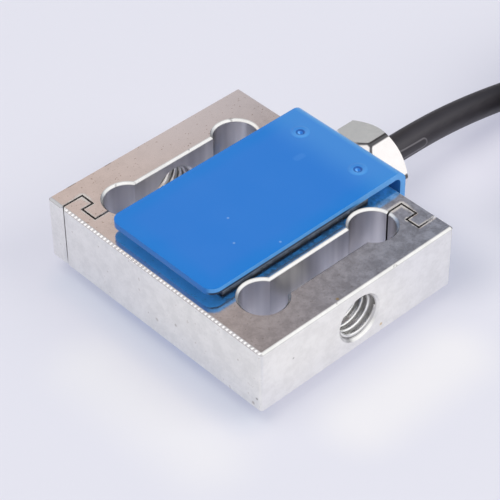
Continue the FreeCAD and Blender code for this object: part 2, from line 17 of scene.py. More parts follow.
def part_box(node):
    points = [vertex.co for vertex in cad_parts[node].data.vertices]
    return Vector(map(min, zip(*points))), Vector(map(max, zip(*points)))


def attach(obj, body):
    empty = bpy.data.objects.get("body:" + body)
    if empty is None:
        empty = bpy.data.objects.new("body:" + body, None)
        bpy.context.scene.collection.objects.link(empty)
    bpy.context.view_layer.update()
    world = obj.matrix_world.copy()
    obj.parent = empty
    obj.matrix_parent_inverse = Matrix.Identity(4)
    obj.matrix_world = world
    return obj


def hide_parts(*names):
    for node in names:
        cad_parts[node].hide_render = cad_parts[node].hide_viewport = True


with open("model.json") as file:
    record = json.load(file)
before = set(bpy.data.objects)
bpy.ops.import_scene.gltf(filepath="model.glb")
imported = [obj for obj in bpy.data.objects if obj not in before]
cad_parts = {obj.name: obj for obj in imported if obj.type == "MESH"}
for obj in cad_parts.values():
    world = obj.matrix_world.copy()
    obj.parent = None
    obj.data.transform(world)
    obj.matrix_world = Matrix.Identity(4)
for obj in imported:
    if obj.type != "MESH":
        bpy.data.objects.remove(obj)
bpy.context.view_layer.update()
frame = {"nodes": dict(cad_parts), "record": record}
MM = 0.001
print("nodes:", len(frame["nodes"]))

# %% [markdown]
# ## The camera
#
# A product picture is taken from well above and a little to one side, through a long lens,
# so that the block's edges stay nearly parallel. The camera could be aimed with a constraint,
# but three plain vectors (right, up and backwards) make its matrix with nothing left to solve.

# %% Place the camera
azimuth, elevation, roll = (math.radians(a) for a in (-42.777, 41.867, -0.616))
aim = Vector((3.084, 3.153, 2.837)) * MM
distance = 344.14 * MM

backwards = Vector(
    (
        math.sin(azimuth) * math.cos(elevation),
        -math.cos(azimuth) * math.cos(elevation),
        math.sin(elevation),
    )
)
level = Vector((math.cos(azimuth), math.sin(azimuth), 0))
upright = backwards.cross(level)
right = level * math.cos(roll) + upright * math.sin(roll)
up = upright * math.cos(roll) - level * math.sin(roll)

lens = bpy.data.cameras.new("product_camera")
lens.sensor_width = 36
lens.lens = 147.98
lens.clip_start = 0.01
camera = bpy.data.objects.new("product_camera", lens)
bpy.context.collection.objects.link(camera)
turn = Matrix((right, up, backwards)).transposed().to_4x4()
camera.matrix_world = Matrix.Translation(aim + backwards * distance) @ turn
bpy.context.scene.camera = camera
print("camera at", [round(c, 4) for c in camera.matrix_world.translation])


# %% [markdown]
# ## Shader arithmetic
#
# A finish is mostly arithmetic: a mask from a position, a pattern times a strength. Drawing
# each Math node by hand hides the formula, so one small class wraps a socket and lets Python's
# own operators add the nodes. Every other kind of node comes from its `node` method.


# %% A socket that does arithmetic
class Wire:
    """A socket in a node tree. Arithmetic on it adds Math nodes to that tree."""

    def __init__(self, tree, socket=None):
        self.tree = tree
        self.socket = socket

    def node(self, kind, settings=None, sockets=None, output=0):
        """Adds a node of any kind: its settings first, then values or wires for its sockets."""
        made = self.tree.nodes.new(kind)
        for name, value in (settings or {}).items():
            setattr(made, name, value)
        for name, value in (sockets or {}).items():
            if isinstance(value, Wire):
                self.tree.links.new(value.socket, made.inputs[name])
            else:
                made.inputs[name].default_value = value
        return Wire(self.tree, made.outputs[output])

    def maths(self, operation, *values):
        return self.node("ShaderNodeMath", {"operation": operation}, dict(enumerate(values)))

    def __add__(self, other):
        return self.maths("ADD", self, other)

    def __sub__(self, other):
        return self.maths("SUBTRACT", self, other)

    def __rsub__(self, other):
        return self.maths("SUBTRACT", other, self)

    def __mul__(self, other):
        return self.maths("MULTIPLY", self, other)

    def __truediv__(self, other):
        return self.maths("DIVIDE", self, other)

    def __rtruediv__(self, other):
        return self.maths("DIVIDE", other, self)

    __radd__ = __add__
    __rmul__ = __mul__

    def power(self, exponent):
        return self.maths("POWER", self, exponent)

    def smaller(self, other):
        return self.maths("MINIMUM", self, other)

    def larger(self, other):
        return self.maths("MAXIMUM", self, other)

    def rise(self, low, high):
        """0 below low, 1 above high, and smooth between them."""
        return self.node(
            "ShaderNodeMapRange",
            {"interpolation_type": "SMOOTHSTEP"},
            {"Value": self, "From Min": low, "From Max": high},
        )

    def between(self, low, high, soft):
        """1 inside low to high, fading to 0 over soft on both sides."""
        return self.rise(low - soft, low) * (1 - self.rise(high, high + soft))


def blend(first, second, amount):
    """Mixes two colours (or wires of colour) by amount."""
    return amount.node(
        "ShaderNodeMix",
        {"data_type": "RGBA"},
        {"Factor": amount, 6: as_colour(first), 7: as_colour(second)},
        output=2,
    )


def as_colour(value):
    return value if isinstance(value, Wire) else (*value, 1)


# %% A finish and its coordinates
def start_finish(name, **plain):
    """A new material with a Principled shader; returns it, its shader and a wire to build on."""
    finish = bpy.data.materials.new(name)
    finish.use_nodes = True
    tree = finish.node_tree
    shader = next(n for n in tree.nodes if n.type == "BSDF_PRINCIPLED")
    for socket, value in plain.items():
        wanted = socket.replace("_", " ")
        shader.inputs[wanted].default_value = (*value, 1) if isinstance(value, tuple) else value
    return finish, shader, Wire(tree)


def feed(shader, socket, wire):
    wire.tree.links.new(wire.socket, shader.inputs[socket])


def place_of(wire):
    """Object coordinates in millimetres, whole and as x, y and z."""
    metres = wire.node("ShaderNodeTexCoord", output="Object")
    whole = wire.node(
        "ShaderNodeVectorMath", {"operation": "SCALE"}, {0: metres, "Scale": 1000.0}
    )
    return whole, *(wire.node("ShaderNodeSeparateXYZ", None, {0: whole}, axis) for axis in "XYZ")


def facing_of(wire):
    """The surface's own direction, as x, y and z."""
    normal = wire.node("ShaderNodeNewGeometry", output="Normal")
    return [wire.node("ShaderNodeSeparateXYZ", None, {0: normal}, axis) for axis in "XYZ"]


def noise(wire, place, scale, detail=2.0, roughness=0.5):
    return wire.node(
        "ShaderNodeTexNoise",
        None,
        {"Vector": place, "Scale": scale, "Detail": detail, "Roughness": roughness},
    )


def stretched(wire, place, x, y, z):
    """The same place with each axis counted x, y or z times as fast."""
    return wire.node(
        "ShaderNodeVectorMath", {"operation": "MULTIPLY"}, {0: place, 1: (x, y, z)}
    )


def emboss(wire, height, strength, depth_mm):
    return wire.node(
        "ShaderNodeBump",
        None,
        {"Height": height, "Strength": strength, "Distance": depth_mm * MM},
    )


def segment_distance(x, y, start, end):
    """How far x, y lie from a segment along X or Y."""
    (x0, y0), (x1, y1) = start, end
    off_x = (min(x0, x1) - x).larger(x - max(x0, x1)).larger(0.0)
    off_y = (min(y0, y1) - y).larger(y - max(y0, y1)).larger(0.0)
    return (off_x * off_x + off_y * off_y).power(0.5)


# %% [markdown]
# ## The studio
#
# The cell lies on a large pale sheet under soft light. A polished face shows the room more
# than it shows itself, so the room matters as much as the lamps: a broad white panel at the
# front right, a paler wall behind on the left and a warm grey ceiling between them.

# %% Floor
floor_finish, floor_shader, wire = start_finish("studio_floor", Roughness=0.6)
floor_shader.inputs["Base Color"].default_value = (0.40, 0.39, 0.36, 1)
floor_shader.inputs["Specular IOR Level"].default_value = 0.0
floor_shader.inputs["Emission Strength"].default_value = 1.0
# the floor's emission is painted light: an even glow that softens every shadow, painted pools of
# light where the steel throws light on it, painted shadow beside the block's left face and to its
# right, and a painted lighter patch under the cable
place, x, y, z = place_of(wire)
left_glow = 1 - segment_distance(x, y, (-32, -24), (-32, 2)).rise(0, 12)
front_glow = 1 - segment_distance(x, y, (-9, -35.5), (11, -35.5)).rise(1, 11)
glow = blend((0.36, 0.37, 0.48), (0.425, 0.43, 0.505), left_glow)
glow = blend(glow, (0.445, 0.445, 0.51), front_glow)
left_shade = 1 - segment_distance(x, y, (-21.5, -22), (-21.5, 20)).rise(0.5, 6.5)
glow = blend(glow, (0.30, 0.33, 0.45), left_shade)
painted_shadow_right = 1 - segment_distance(x, y, (27.5, -22), (27.5, -12)).rise(0, 11)
glow = blend(glow, (0.22, 0.24, 0.36), painted_shadow_right)
painted_light_under_cable = 1 - segment_distance(x, y, (50, -7), (62, -7)).rise(0, 16)
glow = blend(glow, (0.50, 0.50, 0.61), painted_light_under_cable)
feed(floor_shader, "Emission Color", glow)

sheet = bmesh.new()
bmesh.ops.create_grid(sheet, x_segments=1, y_segments=1, size=3.0)
floor_mesh = bpy.data.meshes.new("studio_floor")
sheet.to_mesh(floor_mesh)
sheet.free()
floor_mesh.materials.append(floor_finish)
floor = bpy.data.objects.new("studio_floor", floor_mesh)
bpy.context.collection.objects.link(floor)

# %% Room and lamps
world = bpy.data.worlds.new("room")
bpy.context.scene.world = world
world.use_nodes = True
room = Wire(world.node_tree)
background = next(n for n in world.node_tree.nodes if n.type == "BACKGROUND")
heading = room.node("ShaderNodeTexCoord", output="Generated")
east, north, height = (
    room.node("ShaderNodeSeparateXYZ", None, {0: heading}, axis) for axis in "XYZ"
)
wall = north.rise(0.47, 0.62)
ceiling = blend((0.27, 0.255, 0.27), (0.80, 0.67, 0.62), wall)
ceiling = blend(ceiling, (0.29, 0.32, 0.40), east.rise(0.48, 0.55) * (1 - wall))
front_panel = (0 - north).rise(0.05, 0.35) * height.rise(0.05, 0.25)
left_panel = (0 - east).rise(0.1, 0.5) * height.rise(0.05, 0.3)
shine = blend(ceiling, (1.15, 1.15, 1.17), front_panel.larger(left_panel * 0.9))
far_dark = north.rise(-0.1, 0.2) * east.rise(0.0, 0.3) * (1 - height.rise(0.26, 0.40))
shine = blend(shine, (0.10, 0.10, 0.11), far_dark)
shine = blend(shine, (0.80, 0.81, 0.86), 1 - height.rise(0.0, 0.05))
glossy = room.node("ShaderNodeLightPath", output="Is Glossy Ray")
sky = blend((0.50, 0.505, 0.53), shine, glossy)
room.tree.links.new(sky.socket, background.inputs["Color"])
background.inputs["Strength"].default_value = 1.0


def add_lamp(name, place, size, watts):
    lamp = bpy.data.lights.new(name, "AREA")
    lamp.shape = "DISK"
    lamp.size = size
    lamp.energy = watts
    holder = bpy.data.objects.new(name, lamp)
    holder.matrix_world = Matrix.Translation(place) @ Vector(place).to_track_quat(
        "Z", "Y"
    ).to_matrix().to_4x4()
    holder.visible_glossy = False
    bpy.context.collection.objects.link(holder)


add_lamp("front_panel", (0.55, -0.80, 0.75), 0.9, 7.0)
add_lamp("top_panel", (-0.35, 0.15, 1.1), 0.9, 5.0)


# %% [markdown]
# ## Dressing the CAD pieces
#
# CAD hands over loose triangles. They are exact but every one is shaded flat, so a round wall
# shows its facets. Where a piece needs no new shape, a copy is merged into one skin and
# shaded smooth up to its real edges, and it stands for the CAD node.


# %% Copy a node as one smooth skin
sharp_angle = math.radians(28)


def smooth_copy(node, name, finish, rework=None):
    """Copies a CAD node as one skin, smooth but for its real edges, and stands it in for it."""
    skin = bmesh.new()
    skin.from_mesh(frame["nodes"][node].data)
    bmesh.ops.remove_doubles(skin, verts=skin.verts, dist=0.0005 * MM)
    if rework:
        rework(skin)
    for face in skin.faces:
        face.smooth = True
    for edge in skin.edges:
        if len(edge.link_faces) == 2:
            edge.smooth = edge.calc_face_angle(0) < sharp_angle
    mesh = bpy.data.meshes.new(name)
    skin.to_mesh(mesh)
    skin.free()
    mesh.materials.append(finish)
    piece = bpy.data.objects.new(name, mesh)
    bpy.context.collection.objects.link(piece)
    weights = piece.modifiers.new("flat_faces_stay_flat", "WEIGHTED_NORMAL")
    weights.keep_sharp = True
    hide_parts(node)
    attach(piece, "root")


def finished(mesh_source, name, finish, node=None):
    """Turns a bmesh into a piece that rides on the cell."""
    mesh = bpy.data.meshes.new(name)
    mesh_source.to_mesh(mesh)
    mesh_source.free()
    mesh.materials.append(finish)
    mesh.shade_smooth()
    piece = bpy.data.objects.new(name, mesh)
    bpy.context.collection.objects.link(piece)
    if node:
        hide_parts(node)
    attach(piece, "root")
    return piece


def repaint(node, finish):
    """Gives a CAD node that keeps its own mesh a better finish."""
    part = frame["nodes"][node]
    for number in range(len(part.material_slots)):
        part.material_slots[number].material = finish


slot_of = {row["node"]: row["material_slot"] for row in frame["record"]["subparts"]}
print("slots:", sorted(set(slot_of.values())))

# %% [markdown]
# ## Bright milled steel
#
# The block's big faces are ground and nickel plated, so they mirror the cover. The four sides
# are milled a little coarser and show the pale floor. The bevel along the left edge still has
# the cutter's chatter, a row of slanted nicks less than a millimetre apart.

# %% Steel finish
bore_height = 8.85
nick_pitch, nick_lean, nick_phase = 0.8, 0.9, 0.47
steel, steel_shader, wire = start_finish("milled_steel", Metallic=1.0)
place, x, y, z = place_of(wire)
nx, ny, nz = facing_of(wire)
flat = nz.maths("ABSOLUTE", nz).rise(0.8, 0.95)

cloud = noise(wire, place, 0.16, 4.0, 0.6)
speckle = noise(wire, place, 1.6, 5.0, 0.7)
stain = noise(wire, place, 0.45, 5.0, 0.75)
grain = noise(wire, stretched(wire, place, 3.0, 0.25, 3.0), 2.0, 3.0, 0.6)
mottle = stain.rise(0.34, 0.66)
worn = (x * 0.012 - y * 0.016 + 0.35).larger(0.15).smaller(1.0)
side = blend((0.79, 0.785, 0.76), (0.97, 0.96, 0.93), mottle * 0.55 + speckle * 0.45)
# painted light: the front face is painted lighter than the other sides
front = (0 - ny).rise(0.8, 0.95)
side = blend(side, blend((0.89, 0.88, 0.855), (0.98, 0.97, 0.945), mottle), front)
dirt = noise(wire, place, 0.9, 3.0, 0.6).rise(0.64, 0.74) * (1 - x.rise(-21.2, -20.9) * 0.6)
side = blend(side, (0.50, 0.46, 0.42), dirt * (0.55 - front * 0.4))
even = blend((0.65, 0.62, 0.61), (0.80, 0.77, 0.76), cloud)
patchy = blend((0.40, 0.385, 0.38), (1.0, 0.98, 0.97), mottle * 0.6 + speckle * 0.4)
face = blend(even, patchy, worn)
# painted reflection: the rear of the top face is painted lighter and bluish
face = blend(face, (0.77, 0.81, 0.87), y.rise(10, 25) * x.rise(-16, 8) * 0.75)
pits = noise(wire, place, 2.2, 2.0).rise(0.66, 0.72)
face = blend(face, (0.40, 0.35, 0.31), pits * 0.6)
# a darker, brownish speckled band along the cover's long edges, also duller
cover_edge_band = y.maths("ABSOLUTE", y).between(10.2, 13.2, 0.8) * (1 - x.maths("ABSOLUTE", x).rise(16, 19))
cover_edge_band = cover_edge_band * noise(wire, place, 1.1, 4.0, 0.65).rise(0.44, 0.58)
face = blend(face, (0.40, 0.37, 0.34), cover_edge_band * 0.65)
body = blend(side, face, flat)

# on the chatter: a painted highlight on each nick and painted shade between them
along = y * (1 / nick_pitch) + z * nick_lean
tooth = along.maths("FRACT", along)
nick = tooth.between(0.32, 0.62, 0.16) * z.between(14.84, 15.10, 0.07)
left_bevel = (1 - x.rise(-20.88, -20.84)) * z.rise(14.72, 14.78) * (1 - y.rise(20.9, 21.3))
shade_between_nicks = 0.55 + noise(wire, place, 0.35, 2.0) * 0.9
body = blend(body, (0.55, 0.53, 0.54), (left_bevel * (1 - nick) * shade_between_nicks).smaller(1.0))
body = blend(body, (1.0, 1.0, 1.0), left_bevel * nick)
# painted shade: the bevel beyond the slit is painted grey, without a highlight
corner_bevel = (1 - x.rise(-20.88, -20.84)) * z.rise(14.72, 14.78) * y.rise(21.3, 21.6)
body = blend(body, (0.55, 0.56, 0.58), corner_bevel)

# painted shade on each fine bevel: only its middle keeps a bright highlight; its two edges and
# random gaps in it are painted dark
on_bevel = nz.maths("ABSOLUTE", nz).between(0.55, 0.85, 0.05)
gap = noise(wire, place, 0.33, 3.0, 0.7).rise(0.62, 0.68)
bevel_shade = (1 - z.between(14.84, 15.07, 0.06)) * 0.6 + gap * 0.7
body = blend(body, (0.36, 0.35, 0.35), (on_bevel * bevel_shade * z.rise(14.5, 14.7)).smaller(1.0))

# a few marks of handling: nicks on the rear edge, rust spots and dark specks
for start, end in (((-9.3, 25.1), (-8.3, 25.1)), ((-17.3, 25.1), (-15.9, 25.1))):
    bruise = 1 - segment_distance(x, y, start, end).rise(0.15, 0.40)
    body = blend(body, (0.14, 0.13, 0.13), bruise * z.rise(14.6, 14.7) * 0.8)
on_left = (0 - nx).rise(0.8, 0.95)
marks = [
    (x, y, flat, (-4.28, -24.55), 0.38, (0.75, 0.48, 0.10)),
    (x, z, front, (5.02, 4.37), 0.40, (0.70, 0.50, 0.20)),
    (x, z, front, (-14.5, 10.0), 0.28, (0.30, 0.28, 0.26)),
    (y, z, on_left, (-24.4, 5.1), 0.35, (0.22, 0.20, 0.18)),
    (y, z, on_left, (-23.6, 3.7), 0.45, (0.45, 0.40, 0.36)),
    (y, z, on_left, (-5.8, 7.8), 0.40, (0.50, 0.46, 0.42)),
    (y, z, on_left, (-1.2, 5.9), 0.50, (0.55, 0.51, 0.47)),
]
for across, upward, facing, centre, size, colour in marks:
    spot = 1 - (segment_distance(across, upward, centre, centre) + (speckle - 0.5) * 0.5).rise(
        size * 0.3, size
    )
    body = blend(body, colour, spot * facing * 0.7)

# both slits are one pattern turned half round, so one set of segments serves them
half_turn = 1 - y.rise(-0.01, 0.01) * 2
u, v = x * half_turn, y * half_turn
slit_line = [(22, -21.7), (17, -21.7), (17, -19), (19.2, -19), (19.2, -15.75), (12.1, -15.75)]
from_slit = segment_distance(u, v, slit_line[0], slit_line[1])
for start, end in zip(slit_line[1:], slit_line[2:]):
    from_slit = from_slit.smaller(segment_distance(u, v, start, end))
ragged = from_slit + (speckle - 0.5) * 0.12
rear = y.rise(-0.01, 0.01)
inner_corner = segment_distance(u, v, (17.6, -15.75), (19.2, -15.75))
near_front_corner = (1 - inner_corner.rise(0.8, 2.4)) * (1 - rear)
outer_corner = segment_distance(u, v, (17, -21.7), (17, -20.9))
near_rear_corner = (1 - outer_corner.rise(0.5, 1.8)) * rear
# a light rim along both slits: partly real burr, partly a painted highlight, non-metallic so it
# always shows light
wide_burr_and_highlight = (1 - ragged.rise(0.30, 0.85)) * (near_front_corner + near_rear_corner)
thin_burr_and_highlight = (1 - ragged.rise(0.26, 0.50)) * stain.rise(0.43, 0.56) * 0.75
burr_and_highlight = wide_burr_and_highlight.larger(thin_burr_and_highlight) * flat
body = blend(body, (0.62, 0.58, 0.54), burr_and_highlight)
feed(steel_shader, "Metallic", 1 - burr_and_highlight * 0.85)

# the load bores: painted shade between the thread's ridges, with the crests near white
from_axis = (x * x + (z - bore_height) * (z - bore_height)).power(0.5)
in_bore = (1 - from_axis.rise(4.1, 4.16)) * y.maths("ABSOLUTE", y).rise(18.3, 18.5)
body = blend(body, blend((1.0, 1.0, 0.98), (0.62, 0.61, 0.60), from_axis.rise(3.6, 3.95)), in_bore)
window = y.maths("ABSOLUTE", y).between(11, 20.4, 0.1)
window = (1 - x.maths("ABSOLUTE", x).rise(16.3, 16.5)) * window
wall_inside = window * (1 - nz.maths("ABSOLUTE", nz).rise(0.2, 0.4))
# painted reflection: vertical light and dark bands on the window walls
reflection_bands = noise(wire, stretched(wire, place, 0.35, 0.35, 0.02), 1.0, 2.0).rise(0.30, 0.70)
body = blend(body, blend((0.56, 0.55, 0.56), (0.88, 0.86, 0.85), reflection_bands), wall_inside * 0.9)
feed(steel_shader, "Base Color", body)
dull = 0.34 - flat * 0.20 - wall_inside * 0.04 + burr_and_highlight * 0.2 + cover_edge_band * flat * 0.12
feed(steel_shader, "Roughness", dull + (speckle - 0.5) * 0.08 + (cloud - 0.5) * 0.05)
relief = grain * 0.3 + speckle * 0.4 + stain * 0.3 + from_slit.rise(0.16, 0.34) * 3.0
feed(steel_shader, "Normal", emboss(wire, relief, 0.12, 0.03))


# %% Cut the nicks, then copy the block
bevel_middle = 14.975
nick_half_width, nick_depth = 0.26, 0.08


def cut_nicks(skin):
    """Cuts a row of slanted hollows into the bevel along the block's left upper edge."""

    def bisect(place, direction):
        strip = [
            face
            for face in skin.faces
            if face.normal.x < -0.5 < 0.5 < face.normal.z
            and face.calc_center_median().x < -20.8 * MM
        ]
        edges = {edge for face in strip for edge in face.edges}
        verts = {vert for face in strip for vert in face.verts}
        bmesh.ops.bisect_plane(
            skin,
            geom=strip + list(edges) + list(verts),
            plane_co=Vector(place) * MM,
            plane_no=direction,
            dist=1e-7,
        )

    slant = Vector((0, 1 / nick_pitch, nick_lean)).normalized()
    bisect((0, 0, bevel_middle), Vector((0, 0, 1)))
    centres = []
    for number in range(-20, 40):
        centre = nick_pitch * (number + nick_phase - nick_lean * bevel_middle)
        if -24.8 < centre < 20.9:
            centres.append(centre)
            for offset in (-nick_half_width, 0, nick_half_width):
                bisect((0, centre + offset, bevel_middle), slant)
    hollows = [
        vert
        for vert in skin.verts
        if abs(vert.co.z / MM - bevel_middle) < 0.002
        and vert.co.x < -20.8 * MM
        and min(abs(vert.co.y / MM - centre) for centre in centres) < 0.002
    ]
    bmesh.ops.translate(skin, verts=hollows, vec=Vector((nick_depth, 0, -nick_depth)) * MM)
    print("nicks:", len(centres), "hollows:", len(hollows))


smooth_copy("spring_element", "steel_block", steel, rework=cut_nicks)

# %% [markdown]
# CAD leaves the two load bores plain. The M8 thread is one closed profile swept round the
# bore's axis while it moves along it. Where the mouth is bevelled the ridge is pushed back
# into the wall, and it runs out before the window.

# %% Thread ridges
pitch = 1.25
steps_a_turn = 28
mouth = 25.4
root_radius, crest_radius, mouth_radius = 4.06, 3.44, 4.53
profile = [
    (root_radius, -0.50),
    (crest_radius, -0.10),
    (crest_radius, 0.10),
    (root_radius, 0.50),
]


def thread_ridge(name, side):
    ridge = bmesh.new()
    corners = [
        ridge.verts.new((radius * MM, side * (mouth - 0.6 + along) * MM, bore_height * MM))
        for radius, along in profile
    ]
    loop = [ridge.edges.new((a, b)) for a, b in zip(corners, corners[1:] + corners[:1])]
    turns = 4.6
    bmesh.ops.spin(
        ridge,
        geom=corners + loop,
        cent=(0, 0, bore_height * MM),
        axis=(0, 1, 0),
        dvec=(0, -side * pitch * MM / steps_a_turn, 0),
        angle=math.tau * turns,
        steps=round(turns * steps_a_turn),
        use_duplicate=False,
    )
    bmesh.ops.holes_fill(ridge, edges=ridge.edges, sides=4)
    for vert in ridge.verts:
        depth = mouth - abs(vert.co.y) / MM
        reach = math.hypot(vert.co.x, vert.co.z - bore_height * MM) / MM
        wanted = max(reach, mouth_radius - depth)
        if wanted < root_radius:
            wanted += (root_radius - wanted) * smooth_step((depth - 5.8) / 1.0)
        vert.co.x *= wanted / reach
        vert.co.z = bore_height * MM + (vert.co.z - bore_height * MM) * wanted / reach
    bmesh.ops.recalc_face_normals(ridge, faces=ridge.faces)
    return finished(ridge, name, steel)


def smooth_step(value):
    value = min(1.0, max(0.0, value))
    return value * value * (3 - 2 * value)


front_ridge = thread_ridge("front_thread_ridge", -1)
thread_ridge("rear_thread_ridge", 1)
print("thread ridge faces:", len(front_ridge.data.polygons))

# %% [markdown]
# ## The painted cover
#
# The cover is one strip of sheet bent into a U round the block and sprayed with blue enamel.
# A box with a bevel would look hard. Instead a flat strip gets its round corners and a fine
# mesh while it is still flat, is dented where the pips are pressed in, and only then is bent.

# %% Measure the cover
low_corner, high_corner = (Vector(c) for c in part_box("cover"))
sheet_thickness = 1.2 * MM
fold_middle = 1.8 * MM
half_width = (high_corner.y - low_corner.y) / 2
top_middle = high_corner.z - sheet_thickness / 2
bottom_middle = sheet_thickness / 2
outer_middle = high_corner.x - sheet_thickness / 2
leaf = outer_middle - fold_middle - low_corner.x
arc = fold_middle * math.pi / 2
drop = top_middle - bottom_middle - 2 * fold_middle
strip = 2 * leaf + 2 * arc + drop
pip_along = 18.15 * MM - low_corner.x
pip_across = 6.75 * MM
print("strip length, mm:", round(strip / MM, 2))

# %% Cut the flat strip
blank = bmesh.new()
bmesh.ops.create_grid(blank, x_segments=1, y_segments=1, size=0.5)
bmesh.ops.scale(blank, vec=(strip, 2 * half_width, 1), verts=blank.verts)
bmesh.ops.translate(blank, vec=(strip / 2, 0, 0), verts=blank.verts)
bmesh.ops.bevel(
    blank,
    geom=blank.verts[:],
    offset=2.0 * MM,
    segments=8,
    profile=0.5,
    affect="VERTICES",
    material=-1,
)


def cut_lines(mesh, direction, places):
    for place in places:
        bmesh.ops.bisect_plane(
            mesh,
            geom=mesh.verts[:] + mesh.edges[:] + mesh.faces[:],
            plane_co=direction * place,
            plane_no=direction,
            dist=1e-7,
        )


def spread(start, stop, step):
    count = max(1, round((stop - start) / step))
    return [start + (stop - start) * n / count for n in range(count + 1)]


fine = 0.2 * MM
around_pips = 2.2 * MM
lengthways = spread(0.8 * MM, pip_along - around_pips, 1.0 * MM)
lengthways += spread(pip_along - around_pips, leaf, fine)
lengthways += spread(leaf, leaf + arc, arc / 8)
lengthways += spread(leaf + arc, strip / 2, 1.2 * MM)
lengthways += [strip - place for place in lengthways]
crossways = spread(0, pip_across - around_pips, 1.0 * MM)
crossways += spread(pip_across - around_pips, pip_across + around_pips, fine)
crossways += spread(pip_across + around_pips, half_width - 0.8 * MM, 1.0 * MM)
crossways += [-place for place in crossways]
cut_lines(blank, Vector((1, 0, 0)), sorted(set(lengthways)))
cut_lines(blank, Vector((0, 1, 0)), sorted(set(crossways)))

# the gland passes through a round hole in the middle of the strip: a square window is opened
# in the grid, and its rim is drawn in to a circle
hole_radius = 5.3 * MM
half_window = 6.2 * MM
middle = Vector((strip / 2, 0, 0))
centres = {face: face.calc_center_median() - middle for face in blank.faces}
opened = [face for face, c in centres.items() if max(abs(c.x), abs(c.y)) < half_window]
bmesh.ops.delete(blank, geom=opened, context="FACES")
rim = [
    edge
    for edge in blank.edges
    if edge.is_boundary and (edge.verts[0].co - middle).length < 1.6 * half_window
]
drawn = bmesh.ops.extrude_edge_only(blank, edges=rim)["geom"]
for vert in (item for item in drawn if isinstance(item, bmesh.types.BMVert)):
    vert.co = middle + (vert.co - middle).normalized() * hole_radius
print("cover faces while flat:", len(blank.faces))


# %% [markdown]
# The pips are shallow round dents, with the paint pooled a little at their rims. The bend is a
# plain rule that takes a distance along the strip to a point and a direction on the U.


# %% Dent the pips, then bend
def pip_depth(along, across):
    depth = 0.0
    for centre in (pip_along, strip - pip_along):
        for side in (-1, 1):
            radius = math.hypot(along - centre, across - side * pip_across) / MM
            depth += 0.50 * (1 - smooth_step((radius - 0.25) / 0.65))
            depth += 0.04 * (1 - smooth_step((radius - 1.0) / 1.4))
            if centre == pip_along:
                depth -= 0.10 * math.exp(-(((radius - 1.2) / 0.28) ** 2))
    return depth * MM


def on_the_u(along):
    """Place and outward direction in the XZ plane, along mm from the top leaf's free end."""
    if along <= leaf:
        return Vector((low_corner.x + along, 0, top_middle)), Vector((0, 0, 1))
    if along >= strip - leaf:
        back = strip - along
        return Vector((low_corner.x + back, 0, bottom_middle)), Vector((0, 0, -1))
    bend_x = outer_middle - fold_middle
    if along < leaf + arc:
        angle = math.pi / 2 * (1 - (along - leaf) / arc)
        centre = Vector((bend_x, 0, top_middle - fold_middle))
    elif along > strip - leaf - arc:
        angle = -math.pi / 2 * (along - (strip - leaf - arc)) / arc
        centre = Vector((bend_x, 0, bottom_middle + fold_middle))
    else:
        down = along - leaf - arc
        return Vector((outer_middle, 0, top_middle - fold_middle - down)), Vector((1, 0, 0))
    out = Vector((math.cos(angle), 0, math.sin(angle)))
    return centre + out * fold_middle, out


for vert in blank.verts:
    along, across = vert.co.x, vert.co.y
    spot, out = on_the_u(along)
    spot = spot - out * pip_depth(along, across)
    vert.co = Vector((spot.x, across, spot.z))
bmesh.ops.recalc_face_normals(blank, faces=blank.faces)
outward = sum((f.normal.z for f in blank.faces if f.calc_center_median().z > top_middle * 0.9), 0)
if outward < 0:
    bmesh.ops.reverse_faces(blank, faces=blank.faces)

# %% [markdown]
# ## Blue enamel
#
# Sprayed enamel is a smooth coat. Its border, rounded cut edge, fold and pip rims carry painted
# highlights, the pits and the lower cut edge painted shade, and the underside painted bounce light.
# A few specks of dust sit on it.

# %% Enamel finish
enamel, enamel_shader, wire = start_finish(
    "blue_enamel", Roughness=0.30, IOR=1.36, Coat_Weight=0.05, Coat_Roughness=0.10
)
place, x, y, z = place_of(wire)
orange_peel = noise(wire, place, 0.7, 2.0)
near_end = 1 - (x - low_corner.x / MM).rise(1.2, 4.2)
near_side = (half_width / MM - y.maths("ABSOLUTE", y))
near_side = 1 - near_side.rise(1.0, 3.8)
border_sheen = near_end.larger(near_side)
nx, ny, nz = facing_of(wire)
# painted sheen: the border is painted a slightly purer blue
tone = blend((0.018, 0.182, 0.60), (0.008, 0.185, 0.60), border_sheen)
tone = blend(tone, (0.035, 0.20, 0.62), (noise(wire, place, 0.12) - 0.4).larger(0.0) * 0.8)
dust_spots = [(-8.87, -6.08), (-5.48, -1.02), (-3.4, -10.9)]
for spot_x, spot_y in dust_spots:
    reach = segment_distance(x, y, (spot_x, spot_y), (spot_x, spot_y))
    tone = blend(tone, (0.30, 0.48, 0.75), (1 - reach.rise(0.10, 0.28)) * 0.6)

# painted highlights on the sheet's cut edge, the fold and round the pips, and painted bounce light
# on the underside:
# its glow stands for the light that the polished steel throws back
fold_highlight = nx.rise(0.02, 0.45) * z.rise(8, 9)
tone = blend(tone, (0.085, 0.31, 0.68), (fold_highlight + x.rise(13, 20) * 0.45).smaller(1.0))
# painted highlight on the sheet's rounded cut edge
edge = ny.maths("ABSOLUTE", ny).rise(0.25, 0.75) * (1 - (0 - nz).rise(0.05, 0.4))
patch = noise(wire, place, 0.8, 3.0, 0.6)
tone = blend(tone, (0.13, 0.44, 0.92), edge * (0.50 + patch * 0.7).smaller(1.0))
# painted shade on the lower part of the cut edge
lower_edge_shade = edge * (1 - z.rise(16.78, 17.02)) * (1 - x.rise(9, 15)) * z.rise(16, 16.1)
tone = blend(tone, (0.003, 0.02, 0.06), lower_edge_shade)
# painted highlight: the near end's rounded edge is painted a brighter blue
end_edge_highlight = (0 - nx).rise(0.2, 0.6) * nz.rise(0.2, 0.5)
tone = blend(tone, (0.012, 0.20, 0.68), end_edge_highlight * 0.9)
